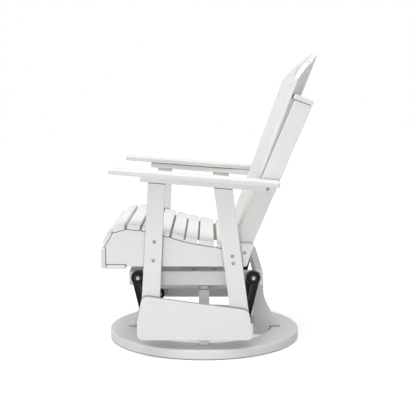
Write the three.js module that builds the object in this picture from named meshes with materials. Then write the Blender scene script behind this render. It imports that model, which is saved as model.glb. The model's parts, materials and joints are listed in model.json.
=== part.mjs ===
// Adirondack swivel glider in white poly lumber: a fan-back chair hung from four swinging links on a
// swivelling underframe, which turns on a four-legged pedestal standing on a ground ring.
// Millimetres, +Z up. The sitter faces -Y and the sitter's left side is +X.
// Heights are above the floor, and Y is counted from the swivel axis until the last lines. A rise or
// a drop is counted from the piece that the comment beside it names.
import * as THREE from "three";

// Gaps and edges
const seatGap = 0.3; // between two pieces that touch
const easedEdge = 2; // eased edge of every board
const easedEdgeShare = 0.25; // most of a board's thickness that its eased edge takes
const cornerCut = 3; // how far a nearly sharp corner of an outline is cut off
const roundSteps = 5; // steps in a rounded corner
const boltSides = 12; // sides of a round bolt or washer
const linkSteps = 7; // steps in a quarter of a link's round ends

// Width that the others follow, each by its own clearance
const seatHalfWidth = 330;
const slatEndGap = 1; // between a slat's end and the leg beside it
const sideInner = seatHalfWidth + slatEndGap; // inner face of the legs

// Ground ring
const ringRadius = 381;
const ringWidth = 111.5;
const ringHeight = 38;
const ringEdge = 6;
const ringSides = 60;
const ringEdgeSteps = 2;

// Pedestal of four flared legs and their top rails
const pedestalTop = 235.5;
const pedestalThickness = 40;
const pedestalRailHeight = 42.5;
const legRingClearance = 0.5; // between a leg's heel and the ring's inner edge
const legHeelCurve = 42; // how far the heel's curve reaches
const legHeelFlat = 27;
const legWaist = 40; // width of a leg at its narrowest
const legFootInset = 72; // how far the foot ends inside the ring's outer edge
const legFootLift = 6;
const legFlareTop = 185;
const legFlareCurveShare = 0.69; // where the flare's curve bends, from the foot to the flare's top
const legHeelCurveShare = 0.8; // where the heel's curve bends, from the heel to the ring
const flareSteps = 10;
const insideRing = ringRadius - ringWidth - legRingClearance;
const legHeelReach = insideRing - legHeelCurve;
const legInnerReach = legHeelReach - legHeelFlat;
const legWaistReach = legInnerReach + legWaist;
const legFootReach = ringRadius - legFootInset;

// Swivel plates
const swivelHeight = 26.5; // room for the swivel between the pedestal and the underframe
const swivelPlateWidth = 250;
const swivelPlateThickness = 6;
const swivelBossRadius = 62;
const swivelRaceRadius = 84;
const swivelRunning = 0.6;
const swivelSides = 28;

// Underframe that turns on the swivel
const frameBottom = pedestalTop + swivelHeight;
const frameDepth = 55;
const frameFront = -281;
const frameRear = 222;
const frameBoard = 30;
const frontCrossDepth = 42;
const rearCrossDepth = 28;
const swivelBoardDepth = 50;
const swivelBoardThickness = 22;
const swivelBoardLap = 25; // how far each swivel board lies over the swivel plate

// Links and their pivots
const pivotRise = 34.8; // of the upper pivots over the underframe's lower face
const pivotHeight = frameBottom + pivotRise;
const frontPivotY = -245;
const rearPivotY = 184;
const pivotInset = 45;
const linkDrop = 193.8; // from the upper pivots down to the lower ones
const lowerPivotHeight = pivotHeight - linkDrop;
const linkThickness = 26;
const linkGap = 3;
const linkLegGap = 15; // between a link and the leg, where the lower bolt's spacer lies
const frameHalfWidth = sideInner - linkLegGap - linkThickness - linkGap;
const linkHeadRadius = 26;
const linkEyeRadius = 24; // also half the width of the arm
const boltRadius = 5;
const looseBore = 8.5; // bore of the rear links' lower eyes
const boltHeadRadius = 7;
const boltHeadThickness = 5;
const washerRadius = 11;
const washerThickness = 2;

// Side legs and skirt boards
const legThickness = 30;
const legWidth = 68.5;
const legSetOut = 2.2; // how far a leg's middle line runs outside its lower pivot
const legFootDrop = 17; // from the lower pivots down to the legs' feet
const frontLegLean = THREE.MathUtils.degToRad(3.4);
const frontLegTaper = THREE.MathUtils.degToRad(0.6); // by how much less its rear edge leans
const rearLegLean = THREE.MathUtils.degToRad(7.6);
const skirtThickness = 20;
const skirtDrop = 28; // from the lower pivots down to the skirt's lower edge
const skirtFrontHeight = 166.8;
const skirtRearHeight = 113.3;
const skirtKneeHeight = 66;
const skirtFrontY = -247;
const skirtRearY = 182;
const skirtFrontSlope = 20;
const skirtRearSlope = 16;
const skirtCorner = 24;

// Seat side boards, slats and front boards
const seatBoard = 29.5;
const seatFront = -362.5;
const seatRear = 92;
const sideRise = 24.7; // of the seat side boards over the underframe
const sideBottom = frameBottom + frameDepth + sideRise;
const seatHeight = 138.5; // of the side boards, at the crest of the seat
const sideRearHeight = 85.3;
const sideRearY = 186;
const sideRearSlope = 27;
const sideRiseStart = 8;
const sideRiseRun = 12;
const boardThickness = 19;
const slatGap = 6;
const rearSlatGap = 12;
const apronHeight = 76;
const apronDrop = 7.5; // how far the apron hangs below the side boards
const underBoardDepth = 73;
const underBoardRise = 8.5;

// Where the seat bends, as shares of its length and of its height over the side boards' lower edge
const seatProfileShares = [
  [0, 0.567],
  [0.056, 0.899],
  [0.165, 1],
  [0.283, 0.97],
  [0.404, 0.866],
  [0.521, 0.784],
  [0.635, 0.67],
  [0.747, 0.594],
  [0.881, 0.521],
  [1, 0.461],
];

// Arms and the rails under them
const armFrontY = -341.5;
const armFrontRise = 368.3; // of the arms' front ends over the side boards' lower edge
const armLength = 617.3;
const armSlope = THREE.MathUtils.degToRad(4.5);
const armThickness = 18;
const armOverhang = 63; // how far the arm reaches out past its rail
const armFrontInset = 13.5; // how far it reaches in past its rail, in front
const armRearInset = 0.5; // how far its rear is cut back inside the rail's inner face
const armTaperStart = 336.5;
const armTaperEnd = 506.5;
const armCorner = 22;
const armRearCorner = 8;
const railThickness = 23;
const railPostGap = 1; // between the rail and the back post
const railOverhang = 4; // how far the rail reaches out past the legs
const railFrontOffset = 112.5;
const railRearOffset = 7.8;
const railCorner = 6;

// Back: two posts, three shaped rails and five fanned slats
const backLean = THREE.MathUtils.degToRad(21.1);
const backFootY = 161;
const backFootRise = 58.3; // over the side boards' lower edge, as is postFootRise
const backCurve = 650; // radius of the hollow that the slats lie in
const slatCount = 5;
const footPostRoom = 27.5; // between the fan's foot and a post's inner face
const topPostLap = 2.5; // how far the fan's top reaches past a post's inner face
const pitchTopAt = 655; // distance up the back where the fan's top is measured
const backSlatGap = 8;
const backPeak = 780;
const crownSideRoom = 66; // by how much the crown's radius is more than half the fan's top
const crownSteps = 6;
const postThickness = 28;
const postSideGap = 1; // between the post and the seat side board
const postWidth = 65.5;
const postLean = THREE.MathUtils.degToRad(22.7);
const postFootY = 82;
const postFootRise = 10.3;
const capAt = 582;
const capOverhang = 4.5; // how far the cap reaches out past the posts
const capFront = 45.5; // how far any back rail reaches ahead of it
const capRear = 27; // how far the cap reaches behind the slats' plane
const midRailRear = 16;
const lowRailRear = 10;
const railRelief = 0.8; // room for the slight twist of the outermost slats
const midRailAt = 240;
const lowRailAt = 24;

// Heights and widths worked out from the ones above
const armFrontTop = sideBottom + armFrontRise;
const backFootZ = sideBottom + backFootRise;
const postFootZ = sideBottom + postFootRise;
const postOuter = sideInner - seatBoard - postSideGap;
const postInner = postOuter - postThickness;
const fanHalfTop = postInner + topPostLap;
const topPitch = (2 * fanHalfTop) / slatCount;
const footPitch = (2 * (postInner - footPostRoom)) / slatCount;
const crownRadius = fanHalfTop + crownSideRoom;
const railInner = postOuter + railPostGap;
const railOuter = sideInner + legThickness + railOverhang;

// Finishes
const lumber = new THREE.MeshStandardMaterial({ name: "white_lumber", color: 0xe9e9e6, roughness: 0.55 });
const blackPlastic = new THREE.MeshStandardMaterial({ name: "black_plastic", color: 0x17171a, roughness: 0.5 });
const brightSteel = new THREE.MeshStandardMaterial({
  name: "bright_steel",
  color: 0xc9cacc,
  roughness: 0.3,
  metalness: 1,
});

const glider = new THREE.Group();
const point = (x, y) => new THREE.Vector2(x, y);

// Helpers in a plane: the meeting point of two lines, and a share of the way between two points
function meet(p, along, q, across) {
  const reach = (q.x - p.x) * across.y - (q.y - p.y) * across.x;
  return p.clone().addScaledVector(along, reach / (along.x * across.y - along.y * across.x));
}

const between = (a, b, share) => a.clone().lerp(b, share);

// A closed outline whose corners are rounded to a radius, or cut off where they are nearly sharp
function roundedShape(corners, radius = cornerCut) {
  const shape = new THREE.Shape();
  corners.forEach((corner, i) => {
    const before = corners[(i + corners.length - 1) % corners.length];
    const after = corners[(i + 1) % corners.length];
    const room = Math.min(corner.distanceTo(before), corner.distanceTo(after)) / 2;
    const size = Math.min(corner.radius ?? radius, room);
    const start = between(corner, before, size / corner.distanceTo(before));
    const end = between(corner, after, size / corner.distanceTo(after));
    if (i === 0) shape.moveTo(start.x, start.y);
    else shape.lineTo(start.x, start.y);
    if (size > cornerCut) shape.quadraticCurveTo(corner.x, corner.y, end.x, end.y);
    else shape.lineTo(end.x, end.y);
  });
  shape.closePath();
  return shape;
}

// An outline pulled out to a thickness with eased edges, from height 0 upwards
function slab(shape, thickness, steps = roundSteps) {
  const edge = Math.min(easedEdge, thickness * easedEdgeShare);
  const solid = new THREE.ExtrudeGeometry(shape, {
    depth: thickness - 2 * edge,
    bevelSize: edge,
    bevelThickness: edge,
    bevelOffset: -edge,
    bevelSegments: 1,
    curveSegments: steps,
  });
  return solid.translate(0, 0, edge);
}

function add(name, solid, material, parent = glider) {
  const mesh = new THREE.Mesh(solid, material);
  mesh.name = name;
  parent.add(mesh);
  return mesh;
}

// A board whose outline lies in the Y-Z plane, between two places along X
const sideways = new THREE.Matrix4().makeBasis(
  new THREE.Vector3(0, 1, 0),
  new THREE.Vector3(0, 0, 1),
  new THREE.Vector3(1, 0, 0),
);

function sideBoard(name, shape, low, high, material = lumber, steps = roundSteps) {
  const board = add(name, slab(shape, high - low, steps).applyMatrix4(sideways), material);
  board.position.x = low;
  return board;
}

// The same board on the left (+X) and on the right (-X)
function boardPair(name, shape, inner, outer, material = lumber, steps = roundSteps) {
  sideBoard(name + "_left", shape, inner, outer, material, steps);
  sideBoard(name + "_right", shape, -outer, -inner, material, steps);
}

// A level board given by its lowest and highest corners
function block(name, low, high, material = lumber, parent = glider) {
  const size = [high[0] - low[0], high[1] - low[1]];
  const shape = roundedShape([point(0, 0), point(size[0], 0), point(...size), point(0, size[1])]);
  const board = add(name, slab(shape, high[2] - low[2], 1), material, parent);
  board.position.set(...low);
  return board;
}

function drill(shape, centre, radius) {
  shape.holes.push(new THREE.Path().absarc(centre.x, centre.y, radius, 0, 2 * Math.PI, true));
}

// A turned solid about the X axis; its profile is a list of [place along X, radius]
function turned(name, profile, x, y, z, material, flip = 1) {
  const points = profile.map(([along, radius]) => point(radius, along));
  const solid = new THREE.LatheGeometry(points, boltSides);
  solid.rotateZ(-Math.PI / 2);
  if (flip < 0) solid.rotateZ(Math.PI);
  const mesh = add(name, solid, material);
  mesh.position.set(x, y, z);
  return mesh;
}

// Ground ring: a flat ring with rounded edges
function groundRing() {
  const inner = ringRadius - ringWidth;
  const section = [];
  const corners = [
    [ringRadius - ringEdge, ringEdge, -Math.PI / 2],
    [ringRadius - ringEdge, ringHeight - ringEdge, 0],
    [inner + ringEdge, ringHeight - ringEdge, Math.PI / 2],
    [inner + ringEdge, ringEdge, Math.PI],
  ];
  for (const [r, z, start] of corners) {
    for (let i = 0; i <= ringEdgeSteps; i += 1) {
      const turn = start + (i / ringEdgeSteps) * (Math.PI / 2);
      section.push(point(r + ringEdge * Math.cos(turn), z + ringEdge * Math.sin(turn)));
    }
  }
  section.push(section[0].clone());
  add("ground_ring", new THREE.LatheGeometry(section, ringSides).rotateX(Math.PI / 2), lumber);
}

// Pedestal leg: a foot on the ring, a heel that drops inside it, and a flared outer edge
function pedestalLegShape() {
  const foot = ringHeight + seatGap;
  const shape = new THREE.Shape();
  shape.moveTo(legInnerReach, legFootLift);
  shape.lineTo(legHeelReach, legFootLift);
  const heelBend = legHeelReach + legHeelCurveShare * (insideRing - legHeelReach);
  shape.quadraticCurveTo(heelBend, legFootLift, insideRing, foot);
  shape.lineTo(legFootReach, foot);
  const flareBend = foot + legFlareCurveShare * (legFlareTop - foot);
  shape.quadraticCurveTo(legWaistReach, flareBend, legWaistReach, legFlareTop);
  shape.lineTo(legWaistReach, pedestalTop);
  shape.lineTo(legInnerReach, pedestalTop);
  shape.closePath();
  return shape;
}

function pedestal() {
  const legShape = pedestalLegShape();
  const names = ["left", "rear", "right", "front"];
  names.forEach((side, i) => {
    const turn = new THREE.Group();
    turn.rotation.z = (i * Math.PI) / 2;
    glider.add(turn);
    const leg = add("pedestal_leg_" + side, slab(legShape, pedestalThickness, flareSteps), lumber, turn);
    leg.rotation.x = Math.PI / 2;
    leg.position.y = pedestalThickness / 2;
  });
  // The two rails cross in a half lap: each one's notch takes the other
  const half = pedestalThickness / 2;
  const reach = legInnerReach - seatGap;
  const bottom = pedestalTop - pedestalRailHeight;
  const middle = pedestalTop - pedestalRailHeight / 2;
  const inNotch = (x, y) => Object.assign(point(x, y), { radius: easedEdge / 2 });
  const notched = (edge, notchEnd, far) => {
    const corners = [
      point(-reach, far),
      point(-reach, edge),
      point(-half - seatGap, edge),
      inNotch(-half - seatGap, notchEnd),
      inNotch(half + seatGap, notchEnd),
      point(half + seatGap, edge),
      point(reach, edge),
      point(reach, far),
    ];
    return roundedShape(edge > far ? corners.toReversed() : corners);
  };
  const long = notched(pedestalTop, middle - seatGap / 2, bottom);
  sideBoard("pedestal_rail_long", long, -half, half);
  const cross = sideBoard("pedestal_rail_cross", notched(bottom, middle + seatGap / 2, pedestalTop), -half, half);
  cross.position.set(0, half, 0);
  cross.rotation.z = -Math.PI / 2;
}

// Swivel: a lower plate with a round boss, and an upper plate whose race runs round the boss
function swivel() {
  const stackBottom = pedestalTop + seatGap;
  const stackTop = frameBottom - seatGap;
  const plateHalf = swivelPlateWidth / 2;
  const lowerTop = swivelPlateThickness;
  const bossTop = stackTop - stackBottom - swivelPlateThickness - swivelRunning;
  const lower = [
    [0, 0],
    [plateHalf, 0],
    [plateHalf, lowerTop],
    [swivelBossRadius, lowerTop],
    [swivelBossRadius, bossTop],
    [0, bossTop],
  ];
  const upperTop = stackTop - stackBottom;
  const upperBottom = upperTop - swivelPlateThickness;
  const raceBottom = lowerTop + swivelRunning;
  const raceInner = swivelBossRadius + swivelRunning;
  const upper = [
    [0, upperBottom],
    [raceInner, upperBottom],
    [raceInner, raceBottom],
    [swivelRaceRadius, raceBottom],
    [swivelRaceRadius, upperBottom],
    [plateHalf, upperBottom],
    [plateHalf, upperTop],
    [0, upperTop],
  ];
  for (const [name, profile] of [["swivel_lower_plate", lower], ["swivel_upper_plate", upper]]) {
    const solid = new THREE.LatheGeometry(profile.map(([r, z]) => point(r, z)), swivelSides);
    add(name, solid.rotateX(Math.PI / 2), brightSteel).position.z = stackBottom;
  }
}

// Underframe: side rails drilled for the link bolts, cross boards between them
function underframe() {
  const top = frameBottom + frameDepth;
  const rail = roundedShape(
    [
      point(frameFront, frameBottom),
      point(frameRear, frameBottom),
      point(frameRear, top),
      point(frameFront, top),
    ],
  );
  for (const y of [frontPivotY, rearPivotY]) drill(rail, point(y, pivotHeight), boltRadius + seatGap);
  boardPair("underframe_rail", rail, frameHalfWidth - frameBoard, frameHalfWidth);
  const reach = frameHalfWidth - frameBoard - seatGap;
  block("underframe_front_board", [-reach, frameFront, frameBottom], [reach, frameFront + frontCrossDepth, top]);
  block("underframe_rear_board", [-reach, frameRear - rearCrossDepth, frameBottom], [reach, frameRear, top]);
  const inner = swivelPlateWidth / 2 - swivelBoardLap;
  const outer = inner + swivelBoardDepth;
  const boardTop = frameBottom + swivelBoardThickness;
  block("underframe_swivel_board_front", [-reach, -outer, frameBottom], [reach, -inner, boardTop]);
  block("underframe_swivel_board_rear", [-reach, inner, frameBottom], [reach, outer, boardTop]);
}

// Links: a round head on the underframe, an eye on the leg, and the arm between them
function linkShape(head, eye, eyeBore) {
  const down = eye.clone().sub(head);
  const heading = down.angle();
  const opening = Math.asin(linkEyeRadius / linkHeadRadius);
  const shape = new THREE.Shape();
  shape.absarc(head.x, head.y, linkHeadRadius, heading + opening, heading - opening + 2 * Math.PI, false);
  shape.absarc(eye.x, eye.y, linkEyeRadius, heading - Math.PI / 2, heading + Math.PI / 2, false);
  shape.closePath();
  drill(shape, head, boltRadius + seatGap);
  drill(shape, eye, eyeBore);
  return shape;
}

function links() {
  const inner = frameHalfWidth + linkGap;
  const outer = inner + linkThickness;
  const ends = [
    ["front", frontPivotY, frontPivotY + pivotInset, boltRadius + seatGap],
    ["rear", rearPivotY, rearPivotY - pivotInset, looseBore],
  ];
  const upperBolt = [
    [-frameBoard - linkGap, 0],
    [-frameBoard - linkGap, boltRadius],
    [-linkGap + seatGap, boltRadius],
    [-linkGap + seatGap, washerRadius],
    [-seatGap, washerRadius],
    [-seatGap, boltRadius],
    [linkThickness + seatGap, boltRadius],
    [linkThickness + seatGap, washerRadius],
    [linkThickness + seatGap + washerThickness, washerRadius],
    [linkThickness + seatGap + washerThickness, boltHeadRadius],
    [linkThickness + seatGap + washerThickness + boltHeadThickness, boltHeadRadius],
    [linkThickness + seatGap + washerThickness + boltHeadThickness, 0],
  ];
  const legFace = sideInner - inner;
  const lowerBolt = [
    [-seatGap - boltHeadThickness, 0],
    [-seatGap - boltHeadThickness, boltHeadRadius],
    [-seatGap - washerThickness, boltHeadRadius],
    [-seatGap - washerThickness, washerRadius],
    [-seatGap, washerRadius],
    [-seatGap, boltRadius],
    [linkThickness + seatGap, boltRadius],
    [linkThickness + seatGap, washerRadius],
    [legFace - seatGap, washerRadius],
    [legFace - seatGap, boltRadius],
    [legFace + legThickness - seatGap, boltRadius],
    [legFace + legThickness - seatGap, 0],
  ];
  for (const [place, headY, eyeY, eyeBore] of ends) {
    const shape = linkShape(point(headY, pivotHeight), point(eyeY, lowerPivotHeight), eyeBore);
    boardPair(place + "_link", shape, inner, outer, blackPlastic, linkSteps);
    for (const [side, way] of [["left", 1], ["right", -1]]) {
      turned(place + "_upper_bolt_" + side, upperBolt, way * inner, headY, pivotHeight, brightSteel, way);
      turned(place + "_lower_bolt_" + side, lowerBolt, way * inner, eyeY, lowerPivotHeight, brightSteel, way);
    }
  }
}

// The line of the arm rails' undersides, in the Y-Z plane, where the leg tops end
const armAlong = point(Math.cos(armSlope), -Math.sin(armSlope));
const armDown = point(-Math.sin(armSlope), -Math.cos(armSlope));
const railUnderside = point(armFrontY, armFrontTop).addScaledVector(
  armDown,
  armThickness + railThickness + 2 * seatGap,
);

// A side leg leans about its lower pivot and ends under the arm rail
function legShape(pivotY, lean, taper = 0) {
  const along = point(Math.sin(lean), Math.cos(lean));
  const rearAlong = point(Math.sin(lean - taper), Math.cos(lean - taper));
  const across = point(Math.cos(lean), -Math.sin(lean));
  const pivot = point(pivotY, lowerPivotHeight);
  const middle = pivot.clone().addScaledVector(across, -Math.sign(lean) * legSetOut);
  const level = point(1, 0);
  const footLine = point(pivotY, lowerPivotHeight - legFootDrop);
  const front = middle.clone().addScaledVector(across, -legWidth / 2);
  const rear = middle.clone().addScaledVector(across, legWidth / 2);
  const shape = roundedShape(
    [
      meet(front, along, footLine, level),
      meet(rear, rearAlong, footLine, level),
      meet(rear, rearAlong, railUnderside, armAlong),
      meet(front, along, railUnderside, armAlong),
    ],
  );
  drill(shape, pivot, boltRadius + seatGap);
  return shape;
}

function sideFrames() {
  const outer = sideInner + legThickness;
  boardPair("front_leg", legShape(frontPivotY + pivotInset, frontLegLean, frontLegTaper), sideInner, outer);
  boardPair("rear_leg", legShape(rearPivotY - pivotInset, -rearLegLean), sideInner, outer);
  const bottom = lowerPivotHeight - skirtDrop;
  const skirt = roundedShape(
    [
      point(skirtFrontY, bottom),
      point(skirtRearY, bottom),
      point(skirtRearY - skirtRearSlope, bottom + skirtRearHeight),
      point(skirtFrontY + skirtFrontSlope, bottom + skirtFrontHeight),
      point(skirtFrontY, bottom + skirtKneeHeight),
    ],
    skirtCorner,
  );
  boardPair("skirt", skirt, outer + seatGap, outer + seatGap + skirtThickness);
}

// The bends of the seat, from the nose to the rear
const seatBends = seatProfileShares.map(([alongShare, heightShare]) =>
  point(seatFront + alongShare * (seatRear - seatFront), sideBottom + heightShare * seatHeight),
);

function seatSides() {
  const notchTop = sideBottom + underBoardRise;
  const notchEnd = seatFront + underBoardDepth + cornerCut;
  const last = seatBends.at(-1);
  const rearTop = sideBottom + sideRearHeight;
  const outline = [
    point(seatFront, notchTop),
    point(notchEnd, notchTop),
    point(notchEnd, sideBottom),
    point(sideRearY - sideRearSlope, sideBottom),
    point(sideRearY, rearTop),
    point(last.x + sideRiseStart + sideRiseRun, rearTop),
    point(last.x + sideRiseStart, last.y),
    ...seatBends.toReversed(),
  ];
  const outer = sideInner - seatGap;
  boardPair("seat_side", roundedShape(outline), outer - seatBoard, outer, lumber, 1);
}

// One slat lies on each flat between two bends
function seatSlats() {
  const flats = seatBends.length - 1;
  for (let i = 0; i < flats; i += 1) {
    const start = seatBends[i];
    const along = seatBends[i + 1].clone().sub(start);
    const length = along.length();
    along.normalize();
    const up = point(-along.y, along.x);
    const lead = i === flats - 1 ? rearSlatGap - slatGap / 2 : slatGap / 2;
    const corner = (reach, height) =>
      start.clone().addScaledVector(along, reach).addScaledVector(up, seatGap + height);
    const shape = roundedShape(
      [
        corner(lead, 0),
        corner(length - slatGap / 2, 0),
        corner(length - slatGap / 2, boardThickness),
        corner(lead, boardThickness),
      ],
    );
    sideBoard("seat_slat_" + (i + 1), shape, -seatHalfWidth, seatHalfWidth, lumber, 1);
  }
}

function seatFrontBoards() {
  const apronBack = seatFront - seatGap;
  const underTop = sideBottom + underBoardRise - seatGap;
  const apronBottom = sideBottom - apronDrop;
  block(
    "apron",
    [-seatHalfWidth, apronBack - boardThickness, apronBottom],
    [seatHalfWidth, apronBack, apronBottom + apronHeight],
  );
  block(
    "front_under_board",
    [-seatHalfWidth, seatFront, underTop - boardThickness],
    [seatHalfWidth, seatFront + underBoardDepth - seatGap, underTop],
  );
}

// Arms and arm rails slope down to the rear together
function arms() {
  const slope = new THREE.Group();
  slope.position.set(0, armFrontY, armFrontTop);
  slope.rotation.x = -armSlope;
  glider.add(slope);
  const armInnerFront = railInner - armFrontInset;
  const armInnerRear = railInner + armRearInset;
  const armOuter = railOuter + armOverhang;
  const rear = (x, y) => Object.assign(point(x, y), { radius: armRearCorner });
  const plan = (way) => {
    const corners = [
      point(way * armInnerFront, 0),
      point(way * armOuter, 0),
      rear(way * armOuter, armLength),
      rear(way * armInnerRear, armLength),
      point(way * armInnerRear, armTaperEnd),
      point(way * armInnerFront, armTaperStart),
    ];
    return roundedShape(way > 0 ? corners : corners.toReversed(), armCorner);
  };
  const railPlan = (way) => {
    const corners = [
      point(way * railInner, railFrontOffset),
      point(way * railOuter, railFrontOffset),
      point(way * railOuter, armLength - railRearOffset),
      point(way * railInner, armLength - railRearOffset),
    ];
    return roundedShape(way > 0 ? corners : corners.toReversed(), railCorner);
  };
  for (const [side, way] of [["left", 1], ["right", -1]]) {
    add("arm_" + side, slab(plan(way), armThickness), lumber, slope).position.z = -armThickness;
    const rail = add("arm_rail_" + side, slab(railPlan(way), railThickness), lumber, slope);
    rail.position.z = -armThickness - seatGap - railThickness;
  }
}

// Distance between neighbouring slats at a height up the back
const pitchAt = (height) => footPitch + (topPitch - footPitch) * (height / pitchTopAt);

// Place on the hollow of the back: across, up and forward
function onHollow(place, height) {
  const turn = (place * pitchAt(height)) / backCurve;
  return new THREE.Vector3(backCurve * Math.sin(turn), height, backCurve * (1 - Math.cos(turn)));
}

const crownHeight = (across) => backPeak - crownRadius + Math.sqrt(Math.max(0, crownRadius ** 2 - across ** 2));

function backSlats(back) {
  const middle = (slatCount - 1) / 2;
  for (let i = 0; i < slatCount; i += 1) {
    const place = i - middle;
    const foot = onHollow(place, 0);
    const up = onHollow(place, pitchTopAt).sub(foot).normalize();
    const turn = (place * (footPitch + topPitch)) / 2 / backCurve;
    const facing = new THREE.Vector3(-Math.sin(turn), 0, Math.cos(turn));
    const across = new THREE.Vector3().crossVectors(up, facing).normalize();
    facing.crossVectors(across, up);
    const halfAt = (height) => (pitchAt(height) - backSlatGap) / 2;
    const corners = [point(-halfAt(0), 0), point(halfAt(0), 0)];
    for (let step = 0; step <= crownSteps; step += 1) {
      const side = 1 - (2 * step) / crownSteps;
      let height = pitchTopAt;
      for (let pass = 0; pass < crownSteps; pass += 1) {
        const spot = foot.clone().addScaledVector(up, height).addScaledVector(across, side * halfAt(height));
        height += crownHeight(spot.x) - spot.y;
      }
      corners.push(point(side * halfAt(height), height));
    }
    const slat = add("back_slat_" + (i + 1), slab(roundedShape(corners), boardThickness, 1), lumber, back);
    slat.setRotationFromMatrix(new THREE.Matrix4().makeBasis(across, up, facing));
    slat.position.copy(foot);
  }
}

// A back rail's front edge follows the flat backs of the slats
function backRail(back, name, height, halfWidth, rear) {
  const step = pitchAt(height) / backCurve;
  const half = slatCount / 2;
  const right = [];
  for (let i = 0.5; i <= half; i += 1) {
    const relief = (railRelief * i) / half;
    const bendRadius = (backCurve + seatGap + relief) / Math.cos(step / 2);
    const bend = point(bendRadius * Math.sin(i * step), backCurve - bendRadius * Math.cos(i * step));
    const before = right.at(-1);
    if (bend.y > capFront && before) {
      right.push(between(before, bend, (capFront - before.y) / (bend.y - before.y)));
      break;
    }
    right.push(bend);
  }
  const reach = right.at(-1);
  const front = reach.x < halfWidth ? [...right, point(halfWidth, reach.y)] : right;
  const outline = [
    point(halfWidth, -rear),
    ...front.toReversed(),
    ...front.map((p) => point(-p.x, p.y)),
    point(-halfWidth, -rear),
  ].map((p) => point(p.x, -p.y));
  const rail = add(name, slab(roundedShape(outline.toReversed()), boardThickness, 1), lumber, back);
  rail.rotation.x = -Math.PI / 2;
  rail.position.y = height;
}

function backPosts() {
  const up = point(Math.sin(postLean), Math.cos(postLean));
  const front = point(postFootY, postFootZ);
  const rear = point(postFootY + postWidth / Math.cos(postLean), postFootZ);
  const capUp = point(Math.sin(backLean), Math.cos(backLean));
  const capAlong = point(Math.cos(backLean), -Math.sin(backLean));
  const capLine = point(backFootY, backFootZ).addScaledVector(capUp, capAt - seatGap);
  const shape = roundedShape(
    [front, rear, meet(rear, up, capLine, capAlong), meet(front, up, capLine, capAlong)]);
  boardPair("back_post", shape, postInner, postOuter, lumber, 1);
}

function backRest() {
  const back = new THREE.Group();
  back.position.set(0, backFootY, backFootZ);
  back.rotation.x = Math.PI / 2 - backLean;
  glider.add(back);
  backSlats(back);
  const betweenPosts = postInner - seatGap;
  backRail(back, "back_cap", capAt, postOuter + capOverhang, capRear);
  backRail(back, "back_mid_rail", midRailAt, betweenPosts, midRailRear);
  backRail(back, "back_low_rail", lowRailAt, betweenPosts, lowRailRear);
  backPosts();
}

groundRing();
pedestal();
swivel();
underframe();
links();
sideFrames();
seatSides();
seatSlats();
seatFrontBoards();
arms();
backRest();

// The origin is on the floor under the middle of the whole outline
glider.updateMatrixWorld(true);
const extent = new THREE.Box3().setFromObject(glider);
glider.position.set(0, -(extent.min.y + extent.max.y) / 2, -extent.min.z);

export default glider;
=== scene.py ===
# %% [markdown]
# # Dressing an adirondack swivel glider
# The imported model already has every board, link and bolt in its right place, with plain
# facets. This lesson gives it the look of the real thing: white poly lumber with rounded
# edges and a faint embossed grain, moulded black links, and bright steel fasteners.
# We load the frame first. Nothing we add may change its size.

import json
import math

import bpy
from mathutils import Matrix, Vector


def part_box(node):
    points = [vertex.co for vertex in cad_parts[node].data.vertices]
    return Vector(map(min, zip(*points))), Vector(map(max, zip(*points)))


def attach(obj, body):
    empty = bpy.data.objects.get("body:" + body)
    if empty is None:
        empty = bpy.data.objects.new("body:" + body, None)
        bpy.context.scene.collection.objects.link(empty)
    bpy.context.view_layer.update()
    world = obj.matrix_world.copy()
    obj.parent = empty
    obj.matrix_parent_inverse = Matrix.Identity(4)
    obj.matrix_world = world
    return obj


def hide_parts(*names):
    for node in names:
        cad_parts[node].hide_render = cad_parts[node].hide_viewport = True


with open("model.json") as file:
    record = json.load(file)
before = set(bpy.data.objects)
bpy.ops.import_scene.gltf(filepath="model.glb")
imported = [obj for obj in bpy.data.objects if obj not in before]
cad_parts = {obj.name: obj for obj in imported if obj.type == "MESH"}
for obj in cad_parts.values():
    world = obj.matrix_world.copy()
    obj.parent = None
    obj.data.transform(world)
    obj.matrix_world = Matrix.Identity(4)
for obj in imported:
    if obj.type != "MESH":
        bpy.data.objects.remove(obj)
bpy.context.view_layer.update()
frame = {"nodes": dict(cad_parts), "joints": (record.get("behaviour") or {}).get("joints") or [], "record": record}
nodes = frame["nodes"]
joints = {joint["name"]: Vector(joint["pos_m"]) for joint in frame["joints"]}
body_of = {
    node: body
    for body, members in frame["record"]["behaviour"]["bodies"].items()
    for node in members
}
swivel_y = joints["swivel"].y

# %% [markdown]
# ## Small helpers
# Operators work on whatever is selected, and the frame arrives selected, so we always
# choose one piece first. Faces are then picked by where they are or which way they look,
# just as we would click on them by hand.

# %% Choose a piece, choose faces, apply a modifier
METRE_PER_MM = 0.001


def mm(value):
    return value * METRE_PER_MM


def choose(piece):
    bpy.ops.object.select_all(action="DESELECT")
    piece.select_set(True)
    bpy.context.view_layer.objects.active = piece


def edit(piece):
    choose(piece)
    bpy.ops.object.mode_set(mode="EDIT")
    bpy.ops.mesh.select_mode(type="FACE")
    bpy.ops.mesh.select_all(action="SELECT")


def leave():
    bpy.ops.object.mode_set(mode="OBJECT")


def pick(piece, wanted):
    bpy.ops.mesh.select_all(action="DESELECT")
    leave()
    for face in piece.data.polygons:
        face.select = wanted(face)
    bpy.ops.object.mode_set(mode="EDIT")


def modify(piece, kind, **settings):
    choose(piece)
    step = piece.modifiers.new(kind.lower(), kind)
    for name, value in settings.items():
        setattr(step, name, value)
    bpy.ops.object.modifier_apply(modifier=step.name)


def combine(piece, other, operation):
    modify(piece, "BOOLEAN", operation=operation, object=other, solver="EXACT")
    bpy.data.objects.remove(other)


def settle(piece, name):
    choose(piece)
    bpy.ops.object.transform_apply(location=True, rotation=True, scale=True)
    piece.name = name
    piece.data.name = name
    return piece
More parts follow.
